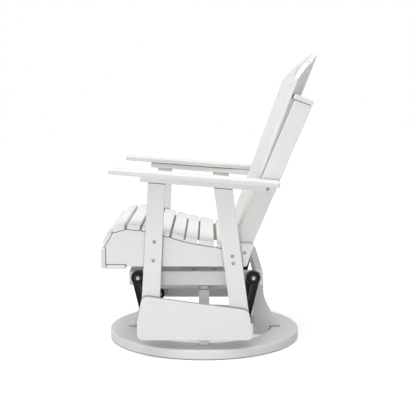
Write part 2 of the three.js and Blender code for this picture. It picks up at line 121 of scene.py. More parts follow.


# %% [markdown]
# ## White poly lumber
# The boards are extruded recycled plastic. Up close the white is not quite even: faint
# streaks run along each board, with a fine embossed grain that breaks up the gloss.
# Noise that is stretched along the board gives both. The stretch has to follow the
# board, so there is one finish for each direction in which boards run. Where boards
# meet, an occlusion node darkens the colour: painted shade. Sawn ends are duller, and
# the skirts' top faces get a darker white, also painted shade.

# %% Lumber finish
LUMBER_WHITE = (0.80, 0.80, 0.787, 1)
LUMBER_SHADE = (0.775, 0.775, 0.758, 1)
STREAK_REPEATS = (6, 150, 150)
GRAIN_REPEATS = (40, 1100, 1100)
SAWN_WHITE = (0.75, 0.75, 0.735, 1)
SAWN_SHADE = (0.71, 0.71, 0.69, 1)
SHADED_EDGE_WHITE = (0.50, 0.50, 0.49, 1)
SHADED_EDGE_STREAK = (0.43, 0.43, 0.42, 1)
SEAM_REACH = mm(8)
SEAM_SAMPLES = 16
SEAM_SHUT = 0.3
SEAM_CLEAR = 0.9
SEAM_SHADE_TONE = 0.12
OPEN_SEAM_SHADE_TONE = 0.6
CROWN_SEAM_SHADE_TONE = 0.8
CROWN_RELIEF_SHARE = 0.1
NOISE_LOW = 0.3
NOISE_HIGH = 0.7
STREAK_DETAIL = 3
GRAIN_DETAIL = 4
WHITE_SHARES = (0.2, 1)
LUMBER_ROUGHNESS = (0.42, 0.6)
STREAK_HEIGHT = mm(0.3)
STREAK_STRENGTH = 0.12
GRAIN_HEIGHT = mm(0.12)
GRAIN_STRENGTH = 0.3


def new_finish(name):
    finish = bpy.data.materials.new(name)
    finish.use_nodes = True
    return finish, finish.node_tree.nodes, finish.node_tree.links


def stretched_noise(tree_nodes, links, source, repeats, detail):
    stretch = tree_nodes.new("ShaderNodeVectorMath")
    stretch.operation = "MULTIPLY"
    stretch.inputs[1].default_value = repeats
    noise = tree_nodes.new("ShaderNodeTexNoise")
    noise.inputs["Scale"].default_value = 1
    noise.inputs["Detail"].default_value = detail
    links.new(source, stretch.inputs[0])
    links.new(stretch.outputs[0], noise.inputs["Vector"])
    return noise.outputs["Fac"]


def to_range(tree_nodes, links, source, limits):
    remap = tree_nodes.new("ShaderNodeMapRange")
    remap.inputs["From Min"].default_value = NOISE_LOW
    remap.inputs["From Max"].default_value = NOISE_HIGH
    remap.inputs["To Min"].default_value = limits[0]
    remap.inputs["To Max"].default_value = limits[1]
    links.new(source, remap.inputs["Value"])
    return remap.outputs["Result"]


def raise_bump(tree_nodes, links, source, height, strength, under=None):
    bump = tree_nodes.new("ShaderNodeBump")
    bump.inputs["Strength"].default_value = strength
    bump.inputs["Distance"].default_value = height
    links.new(source, bump.inputs["Height"])
    if under:
        links.new(under, bump.inputs["Normal"])
    return bump.outputs["Normal"]


def blend(tree_nodes, links, factor, first, second):
    tint = tree_nodes.new("ShaderNodeMix")
    tint.data_type = "RGBA"
    tint.inputs["A"].default_value = first
    tint.inputs["B"].default_value = second
    links.new(factor, tint.inputs["Factor"])
    return tint.outputs["Result"]


# Painted shade: an occlusion node darkens the colour near other surfaces, in seams, corners and bores.
def painted_seam_shade(tree_nodes, links, colour, reach=SEAM_REACH, seam_shade_tone=SEAM_SHADE_TONE):
    nearby = tree_nodes.new("ShaderNodeAmbientOcclusion")
    nearby.samples = SEAM_SAMPLES
    nearby.inputs["Distance"].default_value = reach
    tone = tree_nodes.new("ShaderNodeMapRange")
    tone.inputs["From Min"].default_value = SEAM_SHUT
    tone.inputs["From Max"].default_value = SEAM_CLEAR
    tone.inputs["To Min"].default_value = seam_shade_tone
    links.new(nearby.outputs["AO"], tone.inputs["Value"])
    dimmed = tree_nodes.new("ShaderNodeVectorMath")
    dimmed.operation = "SCALE"
    links.new(colour, dimmed.inputs[0])
    links.new(tone.outputs["Result"], dimmed.inputs["Scale"])
    return dimmed.outputs["Vector"]


def lumber_finish(
    name, turn, white=LUMBER_WHITE, shade=LUMBER_SHADE, relief_share=1.0, seam_shade_tone=SEAM_SHADE_TONE
):
    finish, tree_nodes, links = new_finish(name)
    surface = tree_nodes["Principled BSDF"]
    place = tree_nodes.new("ShaderNodeTexCoord")
    turned_place = tree_nodes.new("ShaderNodeMapping")
    turned_place.inputs["Rotation"].default_value = [math.radians(angle) for angle in turn]
    links.new(place.outputs["Object"], turned_place.inputs["Vector"])
    along = turned_place.outputs["Vector"]
    streaks = stretched_noise(tree_nodes, links, along, STREAK_REPEATS, STREAK_DETAIL)
    grain = stretched_noise(tree_nodes, links, along, GRAIN_REPEATS, GRAIN_DETAIL)
    streak_share = to_range(tree_nodes, links, streaks, WHITE_SHARES)
    tint = blend(tree_nodes, links, streak_share, shade, white)
    colour = painted_seam_shade(tree_nodes, links, tint, seam_shade_tone=seam_shade_tone)
    links.new(colour, surface.inputs["Base Color"])
    roughness = to_range(tree_nodes, links, grain, LUMBER_ROUGHNESS)
    links.new(roughness, surface.inputs["Roughness"])
    relief = raise_bump(
        tree_nodes, links, streaks, STREAK_HEIGHT, STREAK_STRENGTH * relief_share
    )
    relief = raise_bump(
        tree_nodes, links, grain, GRAIN_HEIGHT, GRAIN_STRENGTH * relief_share, under=relief
    )
    links.new(relief, surface.inputs["Normal"])
    return finish


arm_slope = 4.5
back_lean = 21.1
lumber = {
    "across": lumber_finish("lumber_across", (0, 0, 0)),
    "cap": lumber_finish("lumber_cap", (0, 0, 0), seam_shade_tone=OPEN_SEAM_SHADE_TONE),
    "along": lumber_finish("lumber_along", (arm_slope, 0, -90)),
    "upright": lumber_finish("lumber_upright", (0, 90, 0)),
    "leaning": lumber_finish("lumber_leaning", (back_lean, 90, 0), seam_shade_tone=OPEN_SEAM_SHADE_TONE),
}
sawn = lumber_finish("lumber_sawn", (0, 90, 0), SAWN_WHITE, SAWN_SHADE)
# Painted shade: a darker white for the skirts' top faces.
painted_shade_edge = lumber_finish("lumber_painted_shade_edge", (arm_slope, 0, -90), SHADED_EDGE_WHITE, SHADED_EDGE_STREAK)
crown = lumber_finish(
    "lumber_crown", (0, 0, 0),
    relief_share=CROWN_RELIEF_SHARE, seam_shade_tone=CROWN_SEAM_SHADE_TONE,
)
print("lumber finishes:", ", ".join(lumber))

# %% [markdown]
# ## Black moulded plastic
# The swinging links are moulded nylon. A mould leaves a fine even texture that turns
# gloss into a soft sheen, and the colour is a touch uneven where the plastic flowed. The
# parts that stand proud get a lighter kind: a painted highlight, where they catch the light.

# %% Plastic finish
PLASTIC_BLACK = (0.003, 0.003, 0.004, 1)
PLASTIC_GREY = (0.009, 0.009, 0.010, 1)
HIGHLIGHT_BLACK = (0.030, 0.030, 0.031, 1)
HIGHLIGHT_GREY = (0.050, 0.050, 0.052, 1)
PLASTIC_SPECULAR = 0.2
PLASTIC_ROUGHNESS = (0.32, 0.5)
FLOW_REPEATS = (40, 40, 40)
FLOW_DETAIL = 3
TEXTURE_REPEATS = (1800, 1800, 1800)
TEXTURE_DETAIL = 2
TEXTURE_HEIGHT = mm(0.08)
TEXTURE_STRENGTH = 0.4


def plastic_finish(name, black=PLASTIC_BLACK, grey=PLASTIC_GREY):
    finish, tree_nodes, links = new_finish(name)
    surface = tree_nodes["Principled BSDF"]
    surface.inputs["Specular IOR Level"].default_value = PLASTIC_SPECULAR
    place = tree_nodes.new("ShaderNodeTexCoord").outputs["Object"]
    flow = stretched_noise(tree_nodes, links, place, FLOW_REPEATS, FLOW_DETAIL)
    texture = stretched_noise(tree_nodes, links, place, TEXTURE_REPEATS, TEXTURE_DETAIL)
    tint = blend(tree_nodes, links, flow, black, grey)
    links.new(tint, surface.inputs["Base Color"])
    roughness = to_range(tree_nodes, links, texture, PLASTIC_ROUGHNESS)
    links.new(roughness, surface.inputs["Roughness"])
    relief = raise_bump(tree_nodes, links, texture, TEXTURE_HEIGHT, TEXTURE_STRENGTH)
    links.new(relief, surface.inputs["Normal"])
    return finish


black_plastic = plastic_finish("moulded_black_plastic")
# Painted highlight: a lighter black for the faces that stand proud.
highlight_plastic = plastic_finish("painted_highlight_black_plastic", HIGHLIGHT_BLACK, HIGHLIGHT_GREY)
print("plastic finishes:", black_plastic.name, highlight_plastic.name)

# %% [markdown]
# ## Bright steel
# Bolts and plates are zinc plated. Zinc dries in a faint patchy pattern of crystals, so
# cells vary the brightness a little, and fine scratches vary the polish. The slats'
# screws are coated white, with the same pattern under the coat.

# %% Steel and coated screw finishes
STEEL_BRIGHT = (0.72, 0.72, 0.73, 1)
STEEL_DULL = (0.52, 0.52, 0.53, 1)
COAT_WHITE = (0.70, 0.70, 0.69, 1)
COAT_DULL = (0.60, 0.60, 0.59, 1)
STEEL_SEAM_REACH = mm(4)
CRYSTALS_PER_METRE = 350
SCRATCH_REPEATS = (900, 60, 900)
SCRATCH_DETAIL = 3
SCRATCH_HEIGHT = mm(0.03)
SCRATCH_STRENGTH = 0.3


def steel_finish(name, bright, dull, metal, polish):
    finish, tree_nodes, links = new_finish(name)
    surface = tree_nodes["Principled BSDF"]
    surface.inputs["Metallic"].default_value = metal
    place = tree_nodes.new("ShaderNodeTexCoord").outputs["Object"]
    crystals = tree_nodes.new("ShaderNodeTexVoronoi")
    crystals.inputs["Scale"].default_value = CRYSTALS_PER_METRE
    links.new(place, crystals.inputs["Vector"])
    scratches = stretched_noise(tree_nodes, links, place, SCRATCH_REPEATS, SCRATCH_DETAIL)
    tint = blend(tree_nodes, links, crystals.outputs["Distance"], bright, dull)
    # Painted shade in seams and bores, as on the lumber.
    colour = painted_seam_shade(tree_nodes, links, tint, STEEL_SEAM_REACH)
    links.new(colour, surface.inputs["Base Color"])
    roughness = to_range(tree_nodes, links, scratches, polish)
    links.new(roughness, surface.inputs["Roughness"])
    relief = raise_bump(tree_nodes, links, scratches, SCRATCH_HEIGHT, SCRATCH_STRENGTH)
    links.new(relief, surface.inputs["Normal"])
    return finish


bright_steel = steel_finish(
    "zinc_plated_steel", STEEL_BRIGHT, STEEL_DULL, metal=1, polish=(0.2, 0.34)
)
coated_steel = steel_finish(
    "white_coated_screw", COAT_WHITE, COAT_DULL, metal=0, polish=(0.3, 0.45)
)
print("steel finishes:", bright_steel.name, coated_steel.name)

# %% [markdown]
# Every piece gets a finish and a body to ride on, and it may stand for a node of
# the model. Some of its faces can then wear a second finish, as sawn ends do.

# %% Dress a piece
def dress(piece, finish, slot, body, *stands_for):
    piece.data.materials.clear()
    piece.data.materials.append(finish)
    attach(piece, body)
    if stands_for:
        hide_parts(*stands_for)


def finish_faces(piece, finish, wanted):
    piece.data.materials.append(finish)
    for face in piece.data.polygons:
        face.material_index = int(wanted(face))


# %% [markdown]
# ## Boards
# Each board's outline is right already, but its edge is one flat chamfer. On the real
# board a router has run along it. We copy the node, join its loose triangles, clear the
# lines between flat neighbours, and bevel both sides of the chamfer, so three strips
# follow the round. Weighted normals keep the wide faces flat in the light. All faces are
# first drawn in by a fraction of a millimetre, so thin seams show between the boards.

# %% Round a board's edges
SEAM = mm(0.4)
ROUNDING = mm(0.8)
MERGE = mm(0.01)
FLAT_ANGLE = math.radians(0.3)
EDGE_ANGLE = math.radians(30)
CREASE_ANGLE = math.radians(38)


def own_copy(piece, name):
    twin = bpy.data.objects.new(name, piece.data.copy())
    bpy.context.scene.collection.objects.link(twin)
    return twin


def board_copy(node_name, piece_name, seam=0.0):
    piece = own_copy(nodes[node_name], piece_name)
    edit(piece)
    bpy.ops.mesh.remove_doubles(threshold=MERGE)
    bpy.ops.mesh.dissolve_limited(angle_limit=FLAT_ANGLE)
    if seam:
        bpy.ops.mesh.select_all(action="SELECT")
        bpy.ops.transform.shrink_fatten(value=-seam, use_even_offset=True)
    leave()
    return piece


def round_edges(piece, width, segments=3):
    modify(
        piece, "BEVEL", width=width, segments=segments,
        limit_method="ANGLE", angle_limit=EDGE_ANGLE, harden_normals=False,
    )
    choose(piece)
    bpy.ops.object.shade_smooth_by_angle(angle=CREASE_ANGLE)
    modify(piece, "WEIGHTED_NORMAL", keep_sharp=True)


def grain_of(node_name):
    if node_name.startswith(("front_leg", "rear_leg", "pedestal_leg")):
        return "upright"
    if node_name.startswith(("back_slat", "back_post")):
        return "leaning"
    if node_name.startswith(("arm", "skirt", "seat_side", "underframe_rail")):
        return "along"
    if node_name == "back_cap":
        return "cap"
    return "along" if node_name == "pedestal_rail_long" else "across"


# %% [markdown]
# ## Counterbored bolts
# The legs are bolted to the seat sides, and the arm rails to the back posts. Each seat
# side has one more bolt at its rear end. A bolt sits in a bore, so its head doesn't
# catch on clothes. A rod cuts the bore before the edges are rounded, which rounds the
# mouth of the bore as well.

# %% Where the bolts go, and how a bore is cut
BORE_DEPTH = mm(6)
BORE_RADIUS = mm(6)
BORE_SIDES = 32
bolt_places = {
    "front_leg": [(mm(-181.6), mm(439.5)), (mm(-185.8), mm(369.8))],
    "rear_leg": [(mm(104.3), mm(386.2)), (mm(107.7), mm(360.1))],
    "arm_rail": [(mm(231.4), mm(634))],
    "seat_side": [(mm(150.5), mm(394.2))],
}
SIDES = {"left": 1, "right": -1}
SIDEWAYS = (0, math.pi / 2, 0)


def outer_face(node_name, side):
    low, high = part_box(node_name)
    return high.x if side == "left" else low.x


def add_rod(place, radius, length, sides):
    bpy.ops.object.select_all(action="DESELECT")
    bpy.ops.mesh.primitive_cylinder_add(
        vertices=sides, radius=radius, depth=length, location=place, rotation=SIDEWAYS
    )
    return bpy.context.active_object


def drill(piece, place, radius, length, sides):
    combine(piece, add_rod(place, radius, length, sides), "DIFFERENCE")


# %% [markdown]
# Every board gets the finish of the direction it runs in. Sawn ends, the skirts' top
# edges and the curved crown of the back slats then get their own; on the skirts' top
# edges it is a darker white, painted shade.

# %% Make all the boards
SQUARE_ON = 0.9
SHADED_EDGE_SLOPE = 0.7
CROWN_SLOPE = 0.5
not_boards = ("bolt", "link", "_plate", "ground_ring")
sawn_sides = ("apron", "arm")
lean = math.radians(back_lean)
back_up = Vector((0, math.sin(lean), math.cos(lean)))


def looks_sideways(face):
    return abs(face.normal.x) > SQUARE_ON


boards = {}
for node_name in nodes:
    if any(word in node_name for word in not_boards):
        continue
    board = board_copy(node_name, node_name + "_board", SEAM)
    stem, _, side = node_name.rpartition("_")
    kind = stem if side in SIDES else node_name
    for y, z in bolt_places.get(kind, []):
        mouth = (outer_face(node_name, side), y + swivel_y, z)
        drill(board, mouth, BORE_RADIUS, 2 * BORE_DEPTH, BORE_SIDES)
    round_edges(board, ROUNDING)
    dress(board, lumber[grain_of(node_name)], "white_lumber", body_of[node_name], node_name)
    if kind in sawn_sides:
        finish_faces(board, sawn, looks_sideways)
    # The skirts' top faces get the darker white: painted shade.
    if kind == "skirt":
        finish_faces(board, painted_shade_edge, lambda face: face.normal.z > SHADED_EDGE_SLOPE)
    if node_name.startswith("back_slat"):
        finish_faces(board, crown, lambda face: face.normal.dot(back_up) > CROWN_SLOPE)
    boards[node_name] = board
face_count = sum(len(board.data.polygons) for board in boards.values())
print(len(boards), "boards,", face_count, "faces")

# %% [markdown]
# ## Ground ring
# The ring is sawn from one thick sheet and routed on both edges. A circle is extruded
# outwards into a flat band, the band upwards into a ring, and a bevel rounds the rims.

# %% Ground ring
ring_low, ring_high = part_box("ground_ring")
RING_SIDES = 192
RING_EDGE = mm(6)
RING_EDGE_STEPS = 6
RING_EDGE_ANGLE = math.radians(60)
ring_centre = (ring_low + ring_high) / 2
ring_outer = (ring_high.x - ring_low.x) / 2
ring_corners = [point.co - ring_centre for point in nodes["ground_ring"].data.vertices]
ring_inner = min(math.hypot(corner.x, corner.y) for corner in ring_corners)

bpy.ops.object.select_all(action="DESELECT")
bpy.ops.mesh.primitive_circle_add(
    vertices=RING_SIDES, radius=ring_inner, location=(0, ring_centre.y, ring_low.z)
)
ring = bpy.context.active_object
bpy.ops.object.transform_apply(location=True, rotation=True, scale=True)
bpy.ops.object.mode_set(mode="EDIT")
bpy.ops.mesh.select_all(action="SELECT")
bpy.ops.mesh.extrude_edges_move()
grow = ring_outer / ring_inner
bpy.ops.transform.resize(value=(grow, grow, 1), center_override=(0, ring_centre.y, ring_low.z))
bpy.ops.mesh.select_all(action="SELECT")
bpy.ops.mesh.extrude_region_move(
    TRANSFORM_OT_translate={"value": (0, 0, ring_high.z - ring_low.z)}
)
bpy.ops.mesh.select_all(action="SELECT")
bpy.ops.mesh.normals_make_consistent(inside=False)
leave()
settle(ring, "ground_ring_sheet")
modify(
    ring, "BEVEL", width=RING_EDGE, segments=RING_EDGE_STEPS,
    limit_method="ANGLE", angle_limit=RING_EDGE_ANGLE,
)
choose(ring)
bpy.ops.object.shade_smooth_by_angle(angle=CREASE_ANGLE)
modify(ring, "WEIGHTED_NORMAL", keep_sharp=True)
dress(ring, lumber["across"], "white_lumber", "base", "ground_ring")
print("ring", round(ring_outer / METRE_PER_MM), "mm in radius")

# %% [markdown]
# ## Swinging links
# A link is one moulding: a round head with a hub, radial ribs and a flange, a ribbed
# arm, and an eye. It is modelled once, upright at the origin, then copied four times.
# The rings come from insets, and every sixth face of a ring is raised as a rib.

# %% Round end of a link
link_low, link_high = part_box("front_link_left")
LINK_THICK = link_high.x - link_low.x
HEAD_RADIUS = mm(26)
EYE_RADIUS = mm(24)
FLANGE = mm(2.6)
POCKET = mm(9)
WALL_SLOPE = mm(0.5)
HUB_RADIUS = mm(14)
BOLT_BORE = mm(5.3)
LOOSE_BORE = mm(8.5)
LINK_SIDES = 60
RIB_EVERY = 6
RIB_DROP = mm(1.5)
FLOOR_REACH = mm(0.1)


def is_rib(face, centre):
    turn = math.atan2(face.center.z - centre[2], face.center.y - centre[1])
    spoke = round(turn / (2 * math.pi) * LINK_SIDES - 0.5)
    on_floor = abs(abs(face.center.x) - (LINK_THICK / 2 - POCKET)) < FLOOR_REACH
    return looks_sideways(face) and on_floor and spoke % RIB_EVERY == 0


def round_end(centre, radius, bore, ribbed=False):
    end = add_rod(centre, radius, LINK_THICK, LINK_SIDES)
    bpy.ops.object.transform_apply(location=True, rotation=True, scale=True)
    edit(end)
    pick(end, looks_sideways)
    bpy.ops.mesh.inset(thickness=FLANGE)
    bpy.ops.mesh.inset(thickness=WALL_SLOPE, depth=-POCKET)
    bpy.ops.mesh.inset(thickness=radius - FLANGE - 2 * WALL_SLOPE - HUB_RADIUS)
    bpy.ops.mesh.inset(thickness=WALL_SLOPE, depth=POCKET)
    bpy.ops.mesh.inset(thickness=HUB_RADIUS - bore)
    bpy.ops.mesh.bridge_edge_loops()
    if ribbed:
        pick(end, lambda face: is_rib(face, centre))
        bpy.ops.mesh.extrude_region_shrink_fatten(
            TRANSFORM_OT_shrink_fatten={"value": POCKET - RIB_DROP}
        )
    leave()
    return end


# %% [markdown]
# The arm starts as a block that narrows downwards. Two cuts leave a middle strip on each
# face, and the strips beside it sink into pockets, which leaves a middle rib.

# %% Arm of a link, and the whole link
ARM_TOP = mm(24)
ARM_FOOT = mm(23.4)
ARM_INSET = mm(1.5)
ARM_THICK = LINK_THICK - 2 * ARM_INSET
MIDDLE_RIB = mm(3)
LINK_ROUNDING = mm(0.4)
front_head = joints["front_link_swing"]
front_eye = joints["chair_tilt"]
LINK_LENGTH = (front_head - front_eye).length


def sinks(face):
    return looks_sideways(face) and abs(face.center.y) > MIDDLE_RIB


def link_arm():
    bpy.ops.object.select_all(action="DESELECT")
    bpy.ops.mesh.primitive_cube_add(
        size=1, location=(0, 0, -LINK_LENGTH / 2), scale=(ARM_THICK, 2 * ARM_TOP, LINK_LENGTH)
    )
    arm = bpy.context.active_object
    bpy.ops.object.transform_apply(location=True, rotation=True, scale=True)
    edit(arm)
    pick(arm, lambda face: face.normal.z < -SQUARE_ON)
    foot = (0, 0, -LINK_LENGTH)
    bpy.ops.transform.resize(value=(1, ARM_FOOT / ARM_TOP, 1), center_override=foot)
    for side in (-1, 1):
        bpy.ops.mesh.select_all(action="SELECT")
        bpy.ops.mesh.bisect(plane_co=(0, side * MIDDLE_RIB, 0), plane_no=(0, 1, 0))
    pick(arm, sinks)
    bpy.ops.mesh.inset(thickness=FLANGE / 2, use_individual=True)
    bpy.ops.mesh.inset(thickness=WALL_SLOPE, depth=-POCKET, use_individual=True)
    leave()
    return arm


def make_link(name, eye_bore):
    top, foot = (0, 0, 0), (0, 0, -LINK_LENGTH)
    link = link_arm()
    drill(link, top, HEAD_RADIUS - FLANGE / 2, 2 * LINK_THICK, LINK_SIDES)
    drill(link, foot, EYE_RADIUS - FLANGE / 2, 2 * LINK_THICK, LINK_SIDES)
    combine(link, round_end(top, HEAD_RADIUS, BOLT_BORE, ribbed=True), "UNION")
    combine(link, round_end(foot, EYE_RADIUS, eye_bore), "UNION")
    settle(link, name)
    round_edges(link, LINK_ROUNDING, segments=2)
    return link


# %% [markdown]
# Front and rear links differ only in the eye: the rear eyes have a wider bore, which
# leaves play round the bolt. Each link is turned and moved to its pivot, and the faces
# that stand proud get the lighter black, a painted highlight.

# %% Four links in their places
link_models = {"front": make_link("front_link_pattern", BOLT_BORE)}
link_models["rear"] = make_link("rear_link_pattern", LOOSE_BORE)
swing = math.atan2(front_eye.y - front_head.y, front_head.z - front_eye.z)
heads = {"front": front_head, "rear": joints["rear_link_swing"]}
turns = {"front": swing, "rear": -swing}
link_middle = (link_low.x + link_high.x) / 2
HIGHLIGHT_DEPTH = mm(2)
HIGHLIGHT_FROM = LINK_THICK / 2 - HIGHLIGHT_DEPTH


def is_painted_highlight(face):
    outward = abs(abs(face.center.x) - link_middle)
    return looks_sideways(face) and outward > HIGHLIGHT_FROM


for end, pattern in link_models.items():
    for side, way in SIDES.items():
        link = own_copy(pattern, f"{end}_link_moulding_{side}")
        link.rotation_euler.x = turns[end]
        link.location = (way * link_middle, heads[end].y, heads[end].z)
        settle(link, link.name)
        dress(link, black_plastic, "black_plastic", f"{end}_links", f"{end}_link_{side}")
        # Faces that stand proud get the lighter black: painted highlight.
        finish_faces(link, highlight_plastic, is_painted_highlight)
    bpy.data.objects.remove(pattern)
print("links,", round(LINK_LENGTH / METRE_PER_MM), "mm between pivots")

# %% [markdown]
# ## Turned fasteners
# A bolt is a round bar with shoulders. We start from a filled circle, extrude it along
# the axis and resize it at each shoulder, as on a lathe. A six-sided plug then cuts the
# socket into the head.

# %% Lathe helper
LATHE_SIDES = 40
HEXAGON = 6


def turn_piece(name, steps, sides=LATHE_SIDES):
    bpy.ops.object.select_all(action="DESELECT")
    start, first = steps[0]
    bpy.ops.mesh.primitive_circle_add(
        vertices=sides, radius=first, fill_type="NGON",
        location=(start, 0, 0), rotation=SIDEWAYS,
    )
    piece = bpy.context.active_object
    bpy.ops.object.transform_apply(location=True, rotation=True, scale=True)
    edit(piece)
    place, radius = start, first
    for goal, wide in steps[1:]:
        bpy.ops.mesh.extrude_region_move(
            TRANSFORM_OT_translate={"value": (goal - place, 0, 0)}
        )
        grow = wide / radius
        bpy.ops.transform.resize(value=(1, grow, grow), center_override=(goal, 0, 0))
        place, radius = goal, wide
    bpy.ops.mesh.select_all(action="SELECT")
    bpy.ops.mesh.normals_make_consistent(inside=False)
    leave()
    piece.name = name
    return piece


def cut_socket(piece, tip, radius, depth):
    drill(piece, (tip, 0, 0), radius, 2 * depth, HEXAGON)


def head_steps(start, high, radius, shares):
    return [(start + rise * high, wide * radius) for rise, wide in shares]


# %% [markdown]
# The upper bolts hold the link heads to the underframe, with their button heads outside.
# The lower bolts come from inside, pass the link's eye and a spacer, and end in the leg.

# %% Link bolts
rail_low, rail_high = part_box("underframe_rail_left")
leg_low, leg_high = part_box("front_leg_left")
GAP = mm(0.3)
SHAFT = mm(5)
HEAD = mm(7)
HEAD_HIGH = mm(5)
WASHER = mm(11)
WASHER_THICK = mm(2)
SOCKET = mm(3)
SOCKET_DEPTH = mm(4)
BOLT_ROUNDING = mm(0.25)
BUTTON_SHARES = [(0, 1), (0.5, 1), (0.78, 0.9), (0.94, 0.72), (1, 0.5)]
head_start = link_high.x + GAP + WASHER_THICK
head_end = head_start + HEAD_HIGH
upper_steps = [
    (rail_low.x + GAP, SHAFT),
    (rail_high.x + GAP, SHAFT),
    (rail_high.x + GAP, WASHER),
    (link_low.x - GAP, WASHER),
    (link_low.x - GAP, SHAFT),
    (head_start, SHAFT),
    *head_steps(head_start, HEAD_HIGH, HEAD, BUTTON_SHARES),
]
inner_start = link_low.x - GAP
inner_end = inner_start - HEAD_HIGH
lower_steps = [
    *head_steps(inner_start, -HEAD_HIGH, HEAD, reversed(BUTTON_SHARES[1:])),
    (link_low.x - GAP - WASHER_THICK, HEAD),
    (link_low.x - GAP - WASHER_THICK, WASHER),
    (link_low.x - GAP, WASHER),
    (link_low.x - GAP, SHAFT),
    (link_high.x + GAP, SHAFT),
    (link_high.x + GAP, WASHER),
    (leg_low.x - GAP, WASHER),
    (leg_low.x - GAP, SHAFT),
    (leg_high.x - GAP, SHAFT),
]


def middle_of(node_name):
    low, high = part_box(node_name)
    return (low + high) / 2


def place_bolt(pattern, name, way, place):
    bolt = own_copy(pattern, name)
    bolt.rotation_euler.z = 0 if way > 0 else math.pi
    bolt.location = place
    return settle(bolt, name)


upper = turn_piece("upper_bolt_pattern", upper_steps)
cut_socket(upper, head_end, SOCKET, SOCKET_DEPTH)
lower = turn_piece("lower_bolt_pattern", lower_steps)
cut_socket(lower, inner_end, SOCKET, SOCKET_DEPTH)
for pattern in (upper, lower):
    round_edges(pattern, BOLT_ROUNDING, segments=2)
eyes = {"front": front_eye, "rear": middle_of("rear_lower_bolt_left")}
for end, head in heads.items():
    for side, way in SIDES.items():
        bolt = place_bolt(upper, f"{end}_head_bolt_{side}", way, (0, head.y, head.z))
        dress(bolt, bright_steel, "bright_steel", "underframe", f"{end}_upper_bolt_{side}")
        eye = eyes[end]
        bolt = place_bolt(lower, f"{end}_eye_bolt_{side}", way, (0, eye.y, eye.z))
        dress(bolt, bright_steel, "bright_steel", "chair", f"{end}_lower_bolt_{side}")
for pattern in (upper, lower):
    bpy.data.objects.remove(pattern)
print(2 * len(heads) * len(SIDES), "link bolts")

# %% [markdown]
# A dark cap washer lies under each upper bolt's head, so only the head shines. It could
# be a disk with a hole cut in it. Turned like the bolts, it needs no cut: its two end
# faces are bridged through the middle, which leaves the bore.

# %% Cap washers
CAP_OVERHANG = mm(0.5)
CAP_SLOPE = mm(1)
SMALL_ROUNDING = mm(0.2)
cap_steps = [
    (link_high.x + GAP / 2, SHAFT + GAP),
    (link_high.x + GAP / 2, WASHER + CAP_OVERHANG),
    (link_high.x + WASHER_THICK / 2, WASHER + CAP_OVERHANG),
    (head_start - GAP / 2, WASHER - CAP_SLOPE),
    (head_start - GAP / 2, SHAFT + GAP),
]
cap = turn_piece("cap_pattern", cap_steps)
edit(cap)
pick(cap, lambda face: len(face.vertices) == LATHE_SIDES)
bpy.ops.mesh.bridge_edge_loops()
leave()
round_edges(cap, SMALL_ROUNDING, segments=2)
for end, head in heads.items():
    for side, way in SIDES.items():
        washer = place_bolt(cap, f"{end}_cap_washer_{side}", way, (0, head.y, head.z))
        # The washers wear the lighter black, a painted highlight.
        dress(washer, highlight_plastic, "black_plastic", f"{end}_links")
bpy.data.objects.remove(cap)
print(len(heads) * len(SIDES), "cap washers")

# %% [markdown]
# A bolt in a counterbore has a lower head. Only the head can be seen, so only the head
# is made: it stands a hair above the floor of its bore, and is copied into each one.

# %% Bolts in the counterbores
BORE_HEAD = mm(5)
BORE_HEAD_HIGH = mm(3)
BORE_HEAD_LIFT = mm(0.1)
BORE_SOCKET = mm(2.3)
BORE_SOCKET_DEPTH = mm(1.6)
LOW_HEAD_SHARES = [(0, 1), (0.5, 1), (0.85, 0.85), (1, 0.62)]
bore_floor = -BORE_DEPTH + BORE_HEAD_LIFT
board_bolt_steps = head_steps(bore_floor, BORE_HEAD_HIGH, BORE_HEAD, LOW_HEAD_SHARES)
board_bolt = turn_piece("board_bolt_pattern", board_bolt_steps, BORE_SIDES)
cut_socket(board_bolt, bore_floor + BORE_HEAD_HIGH, BORE_SOCKET, BORE_SOCKET_DEPTH)
round_edges(board_bolt, SMALL_ROUNDING, segments=2)
for kind, places in bolt_places.items():
    for side, way in SIDES.items():
        face_x = outer_face(f"{kind}_{side}", side)
        for count, (y, z) in enumerate(places, 1):
            name = f"{kind}_bolt_{count}_{side}"
            bolt = place_bolt(board_bolt, name, way, (face_x, y + swivel_y, z))
            dress(bolt, bright_steel, "bright_steel", "chair")
bpy.data.objects.remove(board_bolt)
print(len(SIDES) * sum(len(places) for places in bolt_places.values()), "bolts in bores")

# %% [markdown]
# ## Screws in the slats
# Every slat is screwed down with white-coated heads that stand a hair above the board.
# A ray finds the board's surface and the way it looks, and the screw is turned to it.

# %% Slat screws
SCREW_HEAD = mm(4.2)
SCREW_HIGH = mm(0.9)
SCREW_FOOT = mm(0.4)
SCREW_SIDES = 24
SCREW_SOCKET = mm(1.5)
SCREW_SOCKET_DEPTH = mm(1)
SCREW_ROUNDING = mm(0.1)
SCREW_SHARES = [(0.3, 1), (0.8, 0.88), (1, 0.6)]
screw_steps = [
    (-SCREW_FOOT, SCREW_HEAD),
    *head_steps(0, SCREW_HIGH, SCREW_HEAD, SCREW_SHARES),
]
screw = turn_piece("screw_pattern", screw_steps, SCREW_SIDES)
cut_socket(screw, SCREW_HIGH, SCREW_SOCKET, SCREW_SOCKET_DEPTH)
round_edges(screw, SCREW_ROUNDING, segments=1)


def drive_screw(board, name, start, direction):
    found, spot, facing, _ = board.ray_cast(start, direction.normalized())
    if not found:
        raise ValueError(f"no board under {name}")
    driven = own_copy(screw, name)
    driven.rotation_mode = "QUATERNION"
    driven.rotation_quaternion = Vector((1, 0, 0)).rotation_difference(facing)
    driven.location = spot
    settle(driven, name)
    dress(driven, coated_steel, "white_lumber", "chair")


